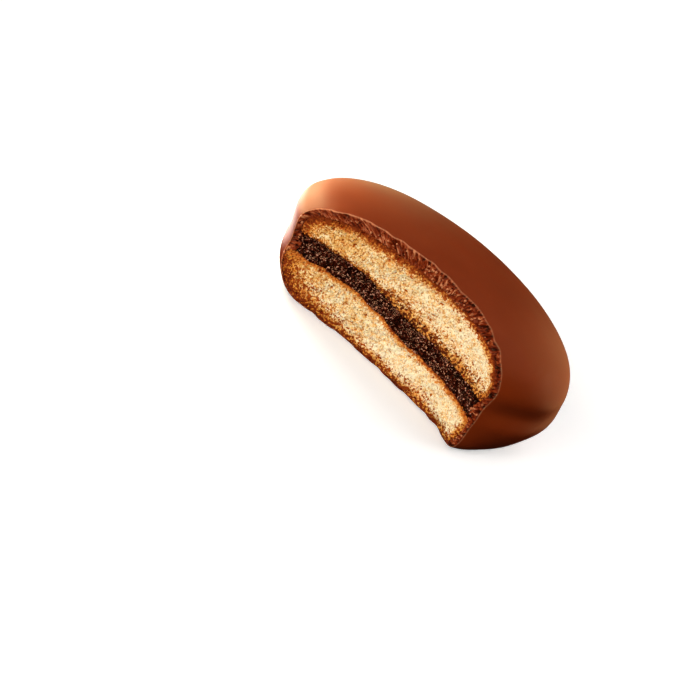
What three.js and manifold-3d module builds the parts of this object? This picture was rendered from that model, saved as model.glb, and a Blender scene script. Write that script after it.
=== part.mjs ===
// A round chocolate-coated sandwich biscuit with one side broken off, lying on its flat base.
// Two golden biscuit halves hold a layer of dark cocoa cream, all inside a coat of milk chocolate.
// Millimetres, +Z up, origin at the centre of the round base. The broken face looks along -Y.
import * as THREE from 'three';
import { mergeVertices } from 'three/addons/utils/BufferGeometryUtils.js';
import Module from 'manifold-3d';

const wasm = await Module();
wasm.setup();

// Outer form of the coated biscuit
const RADIUS = 31;
const HEIGHT = 23.4;
const BASE_RADIUS = 24.6;
const LOWER_BULGE_RADIUS = 30.6;
const LOWER_BULGE_HEIGHT = 7.7;
const UPPER_BULGE_HEIGHT = 13.2;
const SEAM_HEIGHT = 11.2;
const SEAM_DEPTH = 0.8;
const SEAM_WIDTH = 1.8;
const DOME_POWERS = { across: 2.34, up: 2.2 };
const INNER_DOME_POWERS = { across: 2.55, up: 2.35 };
const ROUND_POWERS = { across: 2, up: 2 };

// Thickness of the coat, how far it flowed in between the halves, and its clearance from the layers inside
const COAT_SIDE = 1.2;
const COAT_TOP = 2.7;
const COAT_BASE = 0.7;
const COAT_BETWEEN = { depth: 1.1, spread: 2.2 };
const CLEARANCE = 0.2;

// Layers inside the coat
const FILLING_HEIGHT = 9.9;
const FILLING_THICKNESS = 3.7;
const FILLING_RADIUS = 28.2;
const LAYER_EDGE = 1.5;

// Unevenness of a real biscuit: a lobed outline, halves that sit a little to either side,
// a lopsided lower edge with a foot of pooled chocolate, places at the side that swell or, with a reach
// below zero, sink, a seam that fades in places, and a stepped filling that droops towards its ends
const LOBES = [
  { count: 2, size: 0.007, turn: 1.35 },
  { count: 3, size: 0.004, turn: -0.5 },
];
const HALF_SHIFT = 0.5;
const LOWER_EDGE_SHIFT = 1;
const FOOT = { angle: -0.8, spread: 0.26, reach: 2.8 };
const SWELLS = [
  { angle: 0.2, spread: 0.5, height: 10.6, rise: 3.5, reach: 0.95 },
  { angle: -0.22, spread: 0.5, height: 2.4, rise: 4.6, reach: -1.1 },
  { angle: -2.6, spread: 0.5, height: 11, rise: 3.5, reach: 0.5 },
];
const SEAM_FADES = [
  { angle: -0.95, spread: 0.25, share: 0.95 },
  { angle: 0.12, spread: 0.4, share: 0.97 },
  { angle: -2.6, spread: 0.42, share: 1 },
];
const FILLING_STEP = { rise: 0.95, at: -4, length: 4, reach: 8.5 };
const FILLING_DROOPS = [
  { at: -26, spread: 8, depth: 1.5 },
  { at: 25, spread: 6, depth: 0.9 },
];
const DROOP_FADE = 1.2;

// Broken face: how far from the middle it runs, its bow, skew and lean, and a chip in its lower edge
const BREAK = { distance: 15, bow: 0.01, skew: 0.0002, lean: 0.08 };
const CHIP = { x: 16.5, z: 0.4, width: 3.2, height: 1.3, depth: 1.5 };
const BREAK_CELL = 0.9;
const BREAK_MARGIN = 4;

// Relief of the broken face: waves as long as size (across and up) and as deep as depth
const CRUMB_CRAGS = [
  { across: 3.4, up: 2.6, depth: 0.45 },
  { across: 1.6, up: 1.5, depth: 0.4 },
];
const CREAM_GRAINS = [
  { across: 2.8, up: 2.2, depth: 0.3 },
  { across: 1.6, up: 1.6, depth: 0.25 },
];
const COAT_RIDGES = [
  { across: 1.7, up: 7, depth: 0.4 },
  { across: 5, up: 3, depth: 0.3 },
];

// Start of the random waves on each broken piece
const SEEDS = { coating: 11, upperBiscuit: 23, filling: 37, lowerBiscuit: 51 };

// Faces round the body, and along each stretch of its section: base, lower edge, side, dome and flat top
const COAT_COLUMNS = 64;
const LAYER_COLUMNS = 48;
const COAT_ROWS = { base: 1, edge: 7, side: 8, dome: 13, top: 0 };
const ROOM_ROWS = { base: 1, edge: 5, side: 8, dome: 8, top: 0 };
const UPPER_ROWS = { base: 4, edge: 3, side: 3, dome: 8, top: 0 };
const FILLING_ROWS = { base: 4, edge: 3, side: 1, dome: 3, top: 4 };
const LOWER_ROWS = { base: 1, edge: 4, side: 1, dome: 3, top: 4 };

// Vertices closer than this are one
const SAME_PLACE = 1e-4;

// Quarter of a superellipse, from its widest point to its narrowest
function quarter(wide, narrow, powers, rows) {
  const points = [];
  for (let row = 0; row <= rows; row += 1) {
    const angle = (row / rows) * (Math.PI / 2);
    const across = row === rows ? 0 : Math.cos(angle) ** (2 / powers.across);
    const up = Math.sin(angle) ** (2 / powers.up);
    points.push(new THREE.Vector2(
      THREE.MathUtils.lerp(narrow.r, wide.r, across),
      THREE.MathUtils.lerp(wide.z, narrow.z, up),
    ));
  }
  return points;
}

// Half section of a round body: flat base, rounded lower edge, side with a waist, and a dome or a flat top
function halfSection({ base, low, high, top, powers, waist = 0 }, rows) {
  const points = [];
  for (let row = 0; row < rows.base; row += 1) {
    points.push(new THREE.Vector2((base.r * row) / rows.base, base.z));
  }
  points.push(...quarter(low, base, ROUND_POWERS, rows.edge).reverse());
  for (let row = 1; row < rows.side; row += 1) {
    const share = row / rows.side;
    const r = THREE.MathUtils.lerp(low.r, high.r, THREE.MathUtils.smoothstep(share, 0, 1));
    const z = THREE.MathUtils.lerp(low.z, high.z, share);
    points.push(new THREE.Vector2(r - waist * bell(z, FILLING_HEIGHT, COAT_BETWEEN.spread), z));
  }
  points.push(...quarter(high, top, powers, rows.dome));
  for (let row = rows.top - 1; row >= 0; row -= 1) {
    points.push(new THREE.Vector2((top.r * row) / rows.top, top.z));
  }
  return points;
}

// Bell curve of a length, 1 at its middle
function bell(value, middle, spread) {
  return Math.exp(-(((value - middle) / spread) ** 2));
}

// Bell curve of an angle, which meets itself after a full turn
function roundBell(angle, middle, spread) {
  return bell(2 * Math.sin((angle - middle) / 2), 0, spread);
}

// Moves one point of the ideal round body to where the uneven biscuit has it
function settle(point) {
  const radius = Math.hypot(point.x, point.y);
  const angle = Math.atan2(point.y, point.x);
  const reach = radius / RADIUS;
  let grown = radius;
  for (const lobe of LOBES) grown += radius * lobe.size * Math.cos(lobe.count * angle + lobe.turn);
  const upperHalf = THREE.MathUtils.smoothstep(point.z, LOWER_BULGE_HEIGHT, UPPER_BULGE_HEIGHT);
  grown += reach * (1 - 2 * upperHalf) * HALF_SHIFT * Math.cos(angle);
  const low = Math.max(0, 1 - point.z / LOWER_BULGE_HEIGHT) ** 2;
  grown += reach * low * LOWER_EDGE_SHIFT * Math.cos(angle);
  grown += reach * low * FOOT.reach * roundBell(angle, FOOT.angle, FOOT.spread);
  for (const swell of SWELLS) {
    const share = roundBell(angle, swell.angle, swell.spread) * bell(point.z, swell.height, swell.rise);
    grown += reach ** 4 * swell.reach * share;
  }
  let seam = SEAM_DEPTH;
  for (const fade of SEAM_FADES) seam -= SEAM_DEPTH * fade.share * roundBell(angle, fade.angle, fade.spread);
  grown -= reach ** 4 * seam * bell(point.z, SEAM_HEIGHT, SEAM_WIDTH);
  let step = -FILLING_STEP.rise * Math.tanh((point.x - FILLING_STEP.at) / FILLING_STEP.length);
  const inside = THREE.MathUtils.smoothstep(RADIUS - radius, 0, DROOP_FADE);
  for (const droop of FILLING_DROOPS) step -= inside * droop.depth * bell(point.x, droop.at, droop.spread);
  const away = Math.min(1, Math.abs(point.z - FILLING_HEIGHT) / FILLING_STEP.reach);
  const rise = step * Math.cos((away * Math.PI) / 2) ** 2;
  return new THREE.Vector3(grown * Math.cos(angle), grown * Math.sin(angle), point.z + rise);
}

// A closed geometry as a solid that can be joined and cut
function solidOf(geometry) {
  geometry.deleteAttribute('normal');
  geometry.deleteAttribute('uv');
  const merged = mergeVertices(geometry, SAME_PLACE);
  const corners = merged.index.array;
  const triangles = [];
  for (let first = 0; first < corners.length; first += 3) {
    const [a, b, c] = corners.slice(first, first + 3);
    if (a !== b && b !== c && c !== a) triangles.push(a, b, c);
  }
  const vertProperties = merged.getAttribute('position').array;
  const triVerts = new Uint32Array(triangles);
  return new wasm.Manifold(new wasm.Mesh({ numProp: 3, vertProperties, triVerts }));
}

// A round body turned about Z from its section, then settled into its uneven form
function turned(section, rows, columns) {
  const geometry = new THREE.LatheGeometry(halfSection(section, rows), columns);
  geometry.rotateX(Math.PI / 2);
  const position = geometry.getAttribute('position');
  const point = new THREE.Vector3();
  for (let index = 0; index < position.count; index += 1) {
    const moved = settle(point.fromBufferAttribute(position, index));
    position.setXYZ(index, moved.x, moved.y, moved.z);
  }
  return solidOf(geometry);
}

// Repeatable random number from -1 to 1 for a corner of a grid
function cornerValue(column, row, seed) {
  const wave = Math.sin(column * 127.1 + row * 311.7 + seed * 74.7) * 43758.5453;
  return 2 * (wave - Math.floor(wave)) - 1;
}

// Smooth random waves between the corners of a grid
function waves(across, up, seed) {
  const column = Math.floor(across);
  const row = Math.floor(up);
  const alongRow = THREE.MathUtils.smoothstep(across - column, 0, 1);
  const alongColumn = THREE.MathUtils.smoothstep(up - row, 0, 1);
  const [lower, upper] = [row, row + 1].map((corner) => THREE.MathUtils.lerp(
    cornerValue(column, corner, seed),
    cornerValue(column + 1, corner, seed),
    alongRow,
  ));
  return THREE.MathUtils.lerp(lower, upper, alongColumn);
}

// Where the broken face runs at a place across and up, before its relief
function breakAt(x, z) {
  const run = -BREAK.distance - BREAK.bow * x ** 2 - BREAK.skew * x ** 3;
  const lean = -BREAK.lean * (z - HEIGHT / 2);
  const chip = CHIP.depth * bell(x, CHIP.x, CHIP.width) * bell(z, CHIP.z, CHIP.height);
  return run + lean + chip;
}

// The lost side of the biscuit: a block whose inner face has one layer's relief
function lostSide(relief, seed) {
  const width = 2 * (RADIUS + BREAK_MARGIN);
  const height = HEIGHT + 2 * BREAK_MARGIN;
  const depth = 2 * (RADIUS + BREAK_MARGIN);
  const columns = Math.round(width / BREAK_CELL);
  const rows = Math.round(height / BREAK_CELL);
  const geometry = new THREE.BoxGeometry(width, depth, height, columns, 1, rows);
  geometry.translate(0, 0, HEIGHT / 2);
  const position = geometry.getAttribute('position');
  for (let index = 0; index < position.count; index += 1) {
    if (position.getY(index) < 0) continue;
    const x = position.getX(index);
    const z = position.getZ(index);
    let y = breakAt(x, z);
    relief.forEach((wave, number) => {
      y += wave.depth * waves(x / wave.across, z / wave.up, seed + number);
    });
    position.setY(index, y);
  }
  return solidOf(geometry);
}

// A finished solid as a named mesh with its own material
function pieceOf(name, solid, colour, roughness) {
  const mesh = solid.getMesh();
  const geometry = new THREE.BufferGeometry();
  geometry.setAttribute('position', new THREE.BufferAttribute(mesh.vertProperties, mesh.numProp));
  geometry.setIndex(new THREE.BufferAttribute(mesh.triVerts, 1));
  geometry.computeVertexNormals();
  const material = new THREE.MeshStandardMaterial({ color: colour, roughness, metalness: 0 });
  const piece = new THREE.Mesh(geometry, material);
  piece.name = name;
  return piece;
}

// Section of the whole coated biscuit, drawn in by a wall at its side, top and base
function coatedSection(side, top, base, powers) {
  return {
    base: { r: BASE_RADIUS - side, z: base },
    low: { r: LOWER_BULGE_RADIUS - side, z: LOWER_BULGE_HEIGHT },
    high: { r: RADIUS - side, z: UPPER_BULGE_HEIGHT },
    top: { r: 0, z: HEIGHT - top },
    powers,
  };
}

// Heights where the filling meets the two biscuit halves
const fillingTop = FILLING_HEIGHT + FILLING_THICKNESS / 2;
const fillingBottom = FILLING_HEIGHT - FILLING_THICKNESS / 2;
const layerSide = COAT_SIDE + CLEARANCE;

// Milk chocolate coat: the outer form less the room that the layers fill
function makeCoating() {
  const outer = turned(coatedSection(0, 0, 0, DOME_POWERS), COAT_ROWS, COAT_COLUMNS);
  const inner = coatedSection(COAT_SIDE, COAT_TOP, COAT_BASE, INNER_DOME_POWERS);
  const room = turned({ ...inner, waist: COAT_BETWEEN.depth }, ROOM_ROWS, LAYER_COLUMNS);
  return outer.subtract(room).subtract(lostSide(COAT_RIDGES, SEEDS.coating));
}

// Upper biscuit half: a domed cake with a flat underside on the filling
function makeUpperBiscuit() {
  const inner = coatedSection(layerSide, COAT_TOP + CLEARANCE, 0, INNER_DOME_POWERS);
  const bottom = fillingTop + CLEARANCE;
  const section = {
    base: { r: inner.high.r - LAYER_EDGE, z: bottom },
    low: { r: inner.high.r - CLEARANCE, z: bottom + LAYER_EDGE / 2 },
    high: inner.high,
    top: inner.top,
    powers: inner.powers,
  };
  return turned(section, UPPER_ROWS, LAYER_COLUMNS).subtract(lostSide(CRUMB_CRAGS, SEEDS.upperBiscuit));
}

// Filling: a flat layer of cream with a rounded rim
function makeFilling() {
  const rim = { r: FILLING_RADIUS, z: FILLING_HEIGHT };
  const section = {
    base: { r: FILLING_RADIUS - LAYER_EDGE, z: fillingBottom },
    low: rim,
    high: rim,
    top: { r: FILLING_RADIUS - LAYER_EDGE, z: fillingTop },
    powers: ROUND_POWERS,
  };
  return turned(section, FILLING_ROWS, LAYER_COLUMNS).subtract(lostSide(CREAM_GRAINS, SEEDS.filling));
}

// Lower biscuit half: flat on both sides, with a rounded lower edge
function makeLowerBiscuit() {
  const inner = coatedSection(layerSide, 0, COAT_BASE + CLEARANCE, ROUND_POWERS);
  const top = fillingBottom - CLEARANCE;
  const rim = { r: inner.low.r - CLEARANCE, z: top - LAYER_EDGE / 2 };
  const section = {
    base: inner.base,
    low: rim,
    high: rim,
    top: { r: inner.low.r - LAYER_EDGE, z: top },
    powers: ROUND_POWERS,
  };
  return turned(section, LOWER_ROWS, LAYER_COLUMNS).subtract(lostSide(CRUMB_CRAGS, SEEDS.lowerBiscuit));
}

const biscuit = new THREE.Group();
biscuit.add(
  pieceOf('coating', makeCoating(), 0x85451f, 0.42),
  pieceOf('upper_biscuit', makeUpperBiscuit(), 0xe2bc7c, 0.9),
  pieceOf('filling', makeFilling(), 0x2f1a12, 0.6),
  pieceOf('lower_biscuit', makeLowerBiscuit(), 0xdfb670, 0.9),
);

export default biscuit;
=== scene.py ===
import math

import bpy
import numpy as np
from mathutils import Matrix, Vector
from mathutils.bvhtree import BVHTree


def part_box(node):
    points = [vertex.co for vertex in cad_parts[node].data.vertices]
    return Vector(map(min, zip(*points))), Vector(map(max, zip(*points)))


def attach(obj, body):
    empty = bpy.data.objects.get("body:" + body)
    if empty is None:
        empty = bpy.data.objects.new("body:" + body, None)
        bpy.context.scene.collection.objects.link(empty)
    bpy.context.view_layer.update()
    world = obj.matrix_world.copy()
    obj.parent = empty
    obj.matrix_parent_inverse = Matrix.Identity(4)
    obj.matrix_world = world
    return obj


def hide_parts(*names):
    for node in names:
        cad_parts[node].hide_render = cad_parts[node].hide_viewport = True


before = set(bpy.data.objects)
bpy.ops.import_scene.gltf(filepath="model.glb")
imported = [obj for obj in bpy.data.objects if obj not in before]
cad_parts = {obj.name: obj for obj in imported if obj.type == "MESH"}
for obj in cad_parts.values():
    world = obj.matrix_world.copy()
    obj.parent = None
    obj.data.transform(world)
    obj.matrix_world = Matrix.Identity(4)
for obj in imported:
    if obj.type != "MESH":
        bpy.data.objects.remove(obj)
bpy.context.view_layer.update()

MM = 0.001

# Outer form of the coated biscuit
RADIUS = 31.0
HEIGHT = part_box("coating")[1].z / MM
BASE_RADIUS = 24.6
LOWER_BULGE = (30.6, 7.7)
UPPER_BULGE = (RADIUS, 13.2)
SEAM_HEIGHT = 11.2
SEAM_DEPTH = 0.8
SEAM_WIDTH = 1.8
DOME_POWERS = (2.34, 2.2)
INNER_DOME_POWERS = (2.55, 2.35)
ROUND_POWERS = (2.0, 2.0)

# Coat and layers. Here the layers reach just into each other, so that no gap shows at the break, and the coat
# is thinner than the solid at its base and low at one end.
COAT_SIDE = 1.2
COAT_TOP = 2.7
COAT_BASE = 0.45
THIN_TURN, THIN_SPREAD, THIN_HEIGHT, THIN_RISE, THIN_DEPTH = -2.5, 0.5, 4.0, 4.5, 0.9
COAT_BETWEEN, COAT_BETWEEN_SPREAD = 1.1, 2.2
REACH_IN = 0.08
CREAM_REACH = 1.3
FILLING_HEIGHT = 9.9
FILLING_THICKNESS = 3.7
FILLING_RADIUS = 28.2
LAYER_EDGE = 1.5

# Steps along the base, lower edge, side, dome and flat top of each section, and columns round the body
COAT_ROWS, COAT_COLUMNS = (12, 22, 30, 56, 0), 288
ROOM_ROWS, ROOM_COLUMNS = (6, 12, 20, 24, 0), 120
UPPER_ROWS, LOWER_ROWS, FILLING_ROWS = (40, 6, 6, 36, 0), (6, 20, 1, 6, 40), (40, 8, 1, 8, 40)
LAYER_COLUMNS = 220
WELD = 0.002

# Unevenness, as the solids have it
LOBES = ((2, 0.007, 1.35), (3, 0.004, -0.5))
HALF_SHIFT = 0.5
LOWER_EDGE_SHIFT = 1.0
FOOT_ANGLE, FOOT_SPREAD, FOOT_REACH = -0.8, 0.26, 2.8
SWELLS = ((0.2, 0.5, 10.6, 3.5, 0.95), (-0.22, 0.5, 2.4, 4.6, -1.1), (-2.6, 0.5, 11.0, 3.5, 0.5))
SEAM_FADES = ((-0.95, 0.25, 0.95), (0.12, 0.4, 0.97), (-2.6, 0.42, 1.0))
STEP_RISE, STEP_AT, STEP_LENGTH, STEP_REACH = 0.95, -4.0, 4.0, 8.5
DROOPS = ((-26.0, 8.0, 1.5), (25.0, 6.0, 0.9))
DROOP_FADE = 1.2

# Finer unevenness, which the solids lack
CREAM_EDGE_WAVES = ((3.1, 0.45), (1.3, 0.28))
CREAM_EDGE_REACH, CREAM_EDGE_FADE = 2.6, 2.0
CREAM_EDGE_SEEDS = (3, 8)
CREAM_THIN_AT, CREAM_THIN_SPREAD, CREAM_THIN_DEPTH = -3.0, 4.5, 0.5
SKIN_RIPPLES = ((11.0, 0.07), (5.0, 0.03))
RIPPLE_SLANT = (0.6, -0.8)
RIPPLE_FOOT = 3.0
RIPPLE_SEED = 60

# Broken face. The crumb's waves are lower than those of the solids, because the fine relief adds to them.
BREAK_DISTANCE, BREAK_BOW, BREAK_SKEW, BREAK_LEAN = 15.0, 0.01, 0.0002, 0.08
CHIP_X, CHIP_Z, CHIP_WIDTH, CHIP_HEIGHT, CHIP_DEPTH = 16.5, 0.4, 3.2, 1.3, 1.5
BREAK_CELL = 0.1
BREAK_MARGIN = 1.5
BREAK_BACK = -38.0
CRUMB_CRAGS = ((3.4, 2.6, 0.3), (1.6, 1.5, 0.15))
CREAM_GRAINS = ((2.8, 2.2, 0.3), (1.6, 1.6, 0.25))
COAT_RIDGES = ((1.7, 7.0, 0.4), (5.0, 3.0, 0.3))
ON_BREAK = 0.04

# Heights between which each layer is broken, and the seed of its waves
COAT_SPAN, UPPER_SPAN, FILLING_SPAN, LOWER_SPAN = (0.0, HEIGHT), (8.0, HEIGHT), (5.0, 15.0), (0.0, 11.0)
COAT_SEED, UPPER_SEED, FILLING_SEED, LOWER_SEED = 11, 23, 37, 51

# Outline of the break, along which the coat's ridges are spaced
OUTLINE_X = -2.0
OUTLINE_HALVES = (24.0, 11.0)
OUTLINE_POWER = 2.6
OUTLINE_STEPS = 721

# Fine relief of the break, and lumps that lie loose on it. The coat's ridges and rim are in millimetres.
COAT_SNAP = {"Ridge_Size": 0.55, "Ridge_Run": 1.3, "Ridge_Depth": 0.7 * MM, "Rim": 0.3, "Seed": 4.0}
COAT_LUMPS = {"Density": 2.4 / MM ** 2, "Smallest": 0.08 * MM, "Largest": 0.36 * MM, "Darkest": 0.1,
              "Lightest": 1.05, "Seed": 7}
CRUMB_TEAR = {"Crag_Size": 2.4 * MM, "Crag_Depth": 0.3 * MM, "Clump_Size": 0.9 * MM, "Clump_Depth": 0.18 * MM,
              "Grain_Size": 0.36 * MM, "Grain_Depth": 0.14 * MM, "Pore_Size": 1.1 * MM,
              "Pore_Depth": 0.3 * MM, "Pore_Share": 0.25}
CRUMB_LUMPS = {"Density": 2.2 / MM ** 2, "Smallest": 0.1 * MM, "Largest": 0.26 * MM, "Darkest": 0.35,
               "Lightest": 1.1}
CREAM_TEAR = {"Crag_Size": 1.3 * MM, "Crag_Depth": 0.9 * MM, "Clump_Size": 0.7 * MM, "Clump_Depth": 0.22 * MM,
              "Grain_Size": 0.32 * MM, "Grain_Depth": 0.14 * MM, "Pore_Size": 1.4 * MM,
              "Pore_Depth": 0.3 * MM, "Pore_Share": 0.35, "Seed": 5.0}
# The lightest of the cream's lumps take the painted glint colour
CREAM_LUMPS = {"Density": 1.6 / MM ** 2, "Smallest": 0.08 * MM, "Largest": 0.22 * MM, "Darkest": 0.3,
               "Lightest": 1.15, "Seed": 9}
SEED_SHIFT = 0.037
FULL_TURN = (6.28, 6.28, 6.28)

# Where the coat's lumps lie: a few all over, splinters at the chipped corner and crumbs under the top
LOOSE_SHARE = 0.2
SPLINTER_X, SPLINTER_SPREAD, SPLINTER_TOP, SPLINTER_FADE = 20.0, 5.0, 12.0, 6.0
CRUMBLE_X, CRUMBLE_SPREAD, CRUMBLE_FOOT, CRUMBLE_FADE, CRUMBLE_SHARE = 2.0, 7.0, 16.0, 3.0, 0.6
LOOSE_FADE, LOOSE_GAP = 0.5, 0.6

# How deep the crumb is browned, at least and in bells along X, and how deep soaked, at least and past a step.
# FARTHEST ends a search for coat or cream, and FLAT_FACE is how upright a normal next to the cream is.
UPPER_BURN = (1.2, ((-7.0, 10.0, 0.9), (-25.0, 5.0, 1.0)))
LOWER_BURN = (1.1, ((-20.0, 9.0, 1.7), (11.0, 4.0, 0.6)))
UPPER_SOAK = (0.8, 2.1, -9.0, 7.0)
LOWER_SOAK = (1.5, 0.0, 0.0, 1.0)
FARTHEST = 9.0
FLAT_FACE = 0.7

# View of the photograph: where the camera stands, and where the middle of the base shows in 700 pixels
VIEW_AZIMUTH, VIEW_ELEVATION, VIEW_ROLL = 7.45, 19.8, 38.9
VIEW_DISTANCE = 252.4
VIEW_CENTRE = Vector((0.0, 0.0, 0.9))
PICTURE_SIZE = 700.0
CENTRE_PIXEL = (397.1, 343.8)
FOCAL_PIXELS = 1318.6
SENSOR = 36.0
CLIP_START = 0.01

# Paper that the biscuit lies on, as radius and height
FLOOR_SWEEP = ((400, 0), (700, 5), (1200, 40), (2200, 160), (3600, 400))
FLOOR_SIDES = 64

# Lights, each for shading, for gloss or for both. A soft box has a place, an aim, a width and a power, and a
# distant light has a direction, a spread in degrees and a strength.
SOFT_BOXES = (
    ("key", (-0.06, 0.0, 0.0275), (0.0, 0.0, 0.012), 0.03, 0.047, "#ffeccc", "shading"),
    ("bounce", (-0.045, 0.008, 0.004), (-0.03, -0.014, 0.008), 0.02, 0.008, "#ffe4d8", "gloss"))
DISTANT_LIGHTS = (
    ("gleam", (-0.8, 0.58, 0.09), 36, 2.8, "#fff0b8", "gloss"),
    ("glow", (-0.45, 0.89, 0.03), 30, 0.3, "#fff0a8", "gloss"),
    ("front", (-0.255, -0.951, 0.174), 30, 5.0, "#fff7ea", "both"),
    ("side", (0.5, 0.85, 0.14), 30, 4.8, "#fff4e8", "shading"),
    ("top", (0.3, 0.45, 0.84), 60, 0.8, "#fff4e8", "shading"),
    ("rim", (0.45, 0.87, 0.15), 50, 0.85, "#ffb478", "gloss"))
SKY_FROM, SKY_TO, SKY_DARK, SKY_BRIGHT = 0.45, 0.95, 0.004, 0.32

# Sizes of the patterns in the materials. The crumb's patches are flecks, pits, clumps and blotches.
SKIN_CLOUD, SKIN_GRAIN = 14.0, 0.7
# Size of the noise that breaks up the painted highlight along the snapped edge
SNAP_HIGHLIGHT_BREAKUP = 1.2
CRUMB_GRAIN, CRUMB_SPECK = 0.3, 0.32
CRUMB_PATCHES = (0.22, 0.38, 1.0, 4.5)
CREAM_FLECK = 0.34
PAPER_TOOTH = 2.0

# Colours from dark to light, or from the edge of a stain to its middle
SKIN_TONES = ((0.3, "#752a0c"), (0.55, "#7c2c0d"), (0.75, "#82300f"))
# The snapped coat runs from painted shade in its hollows to painted highlight on its ridges, and its edge
# colour is a painted highlight
SNAPPED_SHADE_TO_HIGHLIGHT_TONES = ((0.05, "#200501"), (0.35, "#541606"), (0.6, "#7a280c"), (0.8, "#984522"), (1.0, "#c88058"))
SNAPPED_EDGE_HIGHLIGHT = "#c9825c"
CRUMB_TONES = ((0.06, "#a8692a"), (0.26, "#d89c4c"), (0.46, "#efc37a"), (0.66, "#fbe1ac"), (0.9, "#fff3d2"))
# Painted shade, multiplied into the crumb: in the gaps between grains, in small pits and in the hollows of
# the torn relief
CRUMB_GAP_SHADE, CRUMB_PIT_SHADE, CRUMB_HOLLOW_SHADE = "#f2c379", "#b47828", "#b8742f"
WASH_TONES = ((0.0, "#fff2dc"), (0.5, "#f4ca88"), (1.0, "#e2a04c"))
CRUST_TONES = ((0.0, "#d68a3e"), (0.3, "#c06424"), (0.65, "#9c4412"), (1.0, "#6c260a"))
UPPER_STAIN = ((0.0, "#e6aa5c"), (0.3, "#d08236"), (0.6, "#a8561e"), (0.85, "#6e2e0d"), (1.0, "#3c1406"))
LOWER_STAIN = ((0.0, "#ecb060"), (0.4, "#dc8838"), (0.8, "#c0621e"), (1.0, "#7c3010"))
# The cream's lightest tone is a painted glint
CREAM_TONES_AND_GLINTS = ((0.08, "#060101"), (0.4, "#1a0502"), (0.66, "#380f06"), (0.87, "#682818"), (1.0, "#cc9a84"))
PAPER_TONES = ((0.0, "#f2f6fd"), (1.0, "#f5f9ff"))

scene = bpy.context.scene
filling_top = FILLING_HEIGHT + FILLING_THICKNESS / 2
filling_bottom = FILLING_HEIGHT - FILLING_THICKNESS / 2
layer_side = COAT_SIDE - REACH_IN


# Trees and materials

def add(tree, kind, inputs=None, out=0, **settings):
    """Adds a node with its settings and its inputs, as values or sockets to link, and gives one output."""
    node = tree.nodes.new(kind)
    for name, value in settings.items():
        setattr(node, name, value)
    for name, value in (inputs or {}).items():
        if isinstance(value, bpy.types.NodeSocket):
            tree.links.new(value, node.inputs[name])
        else:
            node.inputs[name].default_value = value
    return node.outputs[out] if node.outputs else None


def linear(code):
    """An sRGB hex colour as linear red, green, blue and alpha."""
    channels = [int(code[place:place + 2], 16) / 255 for place in (1, 3, 5)]
    return [c / 12.92 if c <= 0.04045 else ((c + 0.055) / 1.055) ** 2.4 for c in channels] + [1.0]


def new_material(name):
    """An empty material and its tree."""
    material = bpy.data.materials.new(name)
    material.use_nodes = True
    material.node_tree.nodes.clear()
    return material, material.node_tree


def fill_ramp(tone, stops):
    """Sets the stops of the ramp that gives a tone, from places and hex colours."""
    elements = tone.node.color_ramp.elements
    while len(elements) < len(stops):
        elements.new(0.5)
    for element, (place, code) in zip(elements, stops):
        element.position = place
        element.color = linear(code)


def coat_skin():
    """Milk chocolate, poured and set: smooth satin, a little cloudy where it flowed, with a fine grain."""
    material, tree = new_material("milk_chocolate_poured")
    place = add(tree, "ShaderNodeTexCoord", out="Object")
    flow = add(tree, "ShaderNodeMapping", {"Vector": place, "Scale": (1.0, 1.0, 2.2)})
    cloud = add(tree, "ShaderNodeTexNoise", {"Vector": flow, "Scale": 1 / (SKIN_CLOUD * MM), "Detail": 3.0})
    tone = add(tree, "ShaderNodeValToRGB", {"Fac": cloud})
    fill_ramp(tone, SKIN_TONES)
    fine = add(tree, "ShaderNodeTexNoise", {"Vector": place, "Scale": 1 / (SKIN_GRAIN * MM), "Detail": 4.0})
    dull = add(tree, "ShaderNodeMapRange", {"Value": cloud, "To Min": 0.38, "To Max": 0.5})
    bump = add(tree, "ShaderNodeBump", {"Height": fine, "Strength": 0.12, "Distance": 0.05 * MM})
    shader = add(tree, "ShaderNodeBsdfPrincipled", {
        "Base Color": tone, "Roughness": dull, "Normal": bump, "IOR": 1.46, "Specular IOR Level": 0.25,
        "Specular Tint": linear("#ffe4a0"), "Subsurface Weight": 0.1, "Subsurface Radius": (1.0, 0.45, 0.2),
        "Subsurface Scale": 0.8 * MM})
    add(tree, "ShaderNodeOutputMaterial", {"Surface": shader})
    return material


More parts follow.
